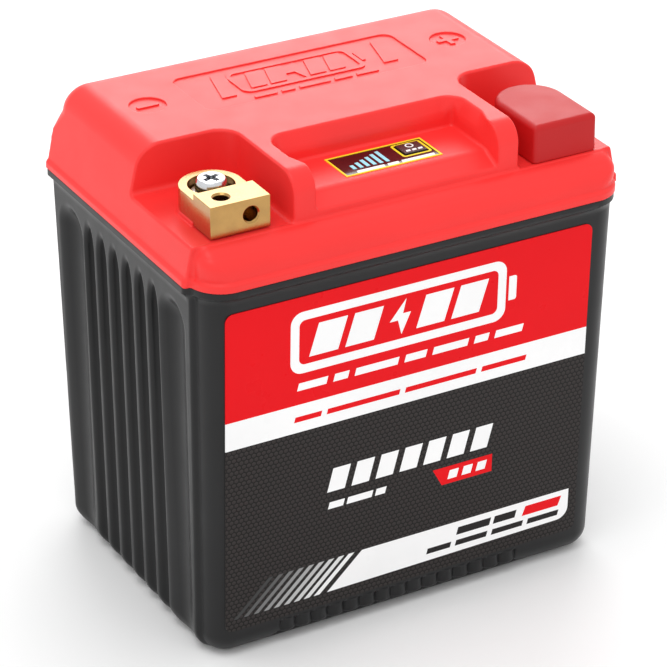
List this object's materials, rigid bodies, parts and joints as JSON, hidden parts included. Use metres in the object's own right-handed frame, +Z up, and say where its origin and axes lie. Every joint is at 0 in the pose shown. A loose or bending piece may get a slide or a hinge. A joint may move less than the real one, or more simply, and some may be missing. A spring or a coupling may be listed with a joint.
{
  "type": "motorcycle battery",
  "caption": "Rectangular lithium starter battery: black fluted tub, red lid with terminal notches, stepped screw terminals, positive cap and charge indicator with test button.",
  "frame": {"origin": "centre of the base, on the surface the battery stands on", "axes": "+X along the long side towards the positive terminal, -Y towards the label, +Z up"},
  "size_m": [0.166, 0.126, 0.1725],
  "materials": {
    "case_plastic": "satin moulded plastic",
    "lid_plastic": "glossy moulded plastic",
    "seal_rubber": "matte",
    "label_film": "glossy printed film",
    "indicator_yellow": "glossy printed border",
    "indicator_lens": "clear glossy cover over a dark print",
    "indicator_bars": "glossy",
    "button_plastic": "glossy",
    "black_component": "matte",
    "circuit_board": "solder mask",
    "zinc_steel": "zinc plated",
    "chromed_steel": "bright plated",
    "terminal_brass": "machined, slightly tarnished",
    "copper": "bare copper",
    "cap_rubber": "smooth soft cover",
    "foam": "open-cell foam",
    "holder_plastic": "matte",
    "nickel": "plated strip",
    "fish_paper": "insulating paper",
    "white_plastic": "matte",
    "lead_red": "soft insulation",
    "cell_wrap": "shrink wrap on a metal can"
  },
  "bodies": {
    "root": {"case": "case_plastic", "lid": "lid_plastic", "lid_seal": "seal_rubber", "front_label": "label_film", "display_frame": "indicator_yellow", "display_lens": "indicator_lens", "display_bars": "indicator_bars", "push_switch": "black_component", "indicator_board": "circuit_board", "indicator_screws": "zinc_steel", "indicator_lead": "black_component", "negative_terminal": "terminal_brass", "negative_post": "terminal_brass", "negative_strap": "copper", "positive_terminal": "terminal_brass", "positive_post": "terminal_brass", "positive_strap": "copper", "base_pad": "foam", "lower_cell_holder": "holder_plastic", "upper_cell_holder": "holder_plastic", "lower_bus_plate_a": "nickel", "lower_bus_plate_b": "nickel", "upper_bus_plate_a": "nickel", "upper_bus_plate_b": "nickel", "upper_bus_plate_c": "nickel", "cell_insulator": "fish_paper", "board_standoffs": "white_plastic", "management_board": "circuit_board", "power_transistors": "black_component", "balance_connector": "white_plastic", "balance_leads": "lead_red", "board_screws": "zinc_steel", "pack_strap": "copper", "foam_block": "foam", "cell_1": "cell_wrap", "cell_2": "cell_wrap", "cell_3": "cell_wrap", "cell_4": "cell_wrap", "cell_5": "cell_wrap", "cell_6": "cell_wrap", "cell_7": "cell_wrap", "cell_8": "cell_wrap", "cell_9": "cell_wrap", "cell_10": "cell_wrap", "cell_11": "cell_wrap", "cell_12": "cell_wrap"},
    "positive_cap": {"positive_cap": "cap_rubber"},
    "test_button": {"test_button": "button_plastic"},
    "negative_washer": {"negative_washer": "zinc_steel"},
    "negative_screw": {"negative_screw": "chromed_steel"},
    "positive_washer": {"positive_washer": "zinc_steel"},
    "positive_screw": {"positive_screw": "chromed_steel"}
  },
  "joints": [
    {"name": "positive_cap_pull", "type": "slide", "parent": "root", "child": "positive_cap", "axis": [0, 0, 1], "range_m": [0, 0.045]},
    {"name": "test_button_press", "type": "slide", "parent": "root", "child": "test_button", "axis": [0, 0, -1], "range_m": [0, 0.0003], "stiffness_N_per_m": 3000, "springref_m": -0.0001},
    {"name": "negative_screw_lift", "type": "slide", "parent": "root", "child": "negative_washer", "axis": [0, 0, 1], "range_m": [0, 0.007]},
    {"name": "negative_screw_turn", "type": "hinge", "parent": "negative_washer", "child": "negative_screw", "pos_m": [-0.0611, -0.0305, 0.1623], "axis": [0, 0, 1], "range_deg": [0, 2521]},
    {"name": "positive_screw_lift", "type": "slide", "parent": "root", "child": "positive_washer", "axis": [0, 0, 1], "range_m": [0, 0.0005]},
    {"name": "positive_screw_turn", "type": "hinge", "parent": "positive_washer", "child": "positive_screw", "pos_m": [0.0611, -0.0305, 0.1623], "axis": [0, 0, 1], "range_deg": [0, 181]}
  ],
  "couplings": [
    {"joint": "negative_screw_turn", "follows": "negative_screw_lift", "rad_per_m": 6283.2},
    {"joint": "positive_screw_turn", "follows": "positive_screw_lift", "rad_per_m": 6283.2}
  ]
}
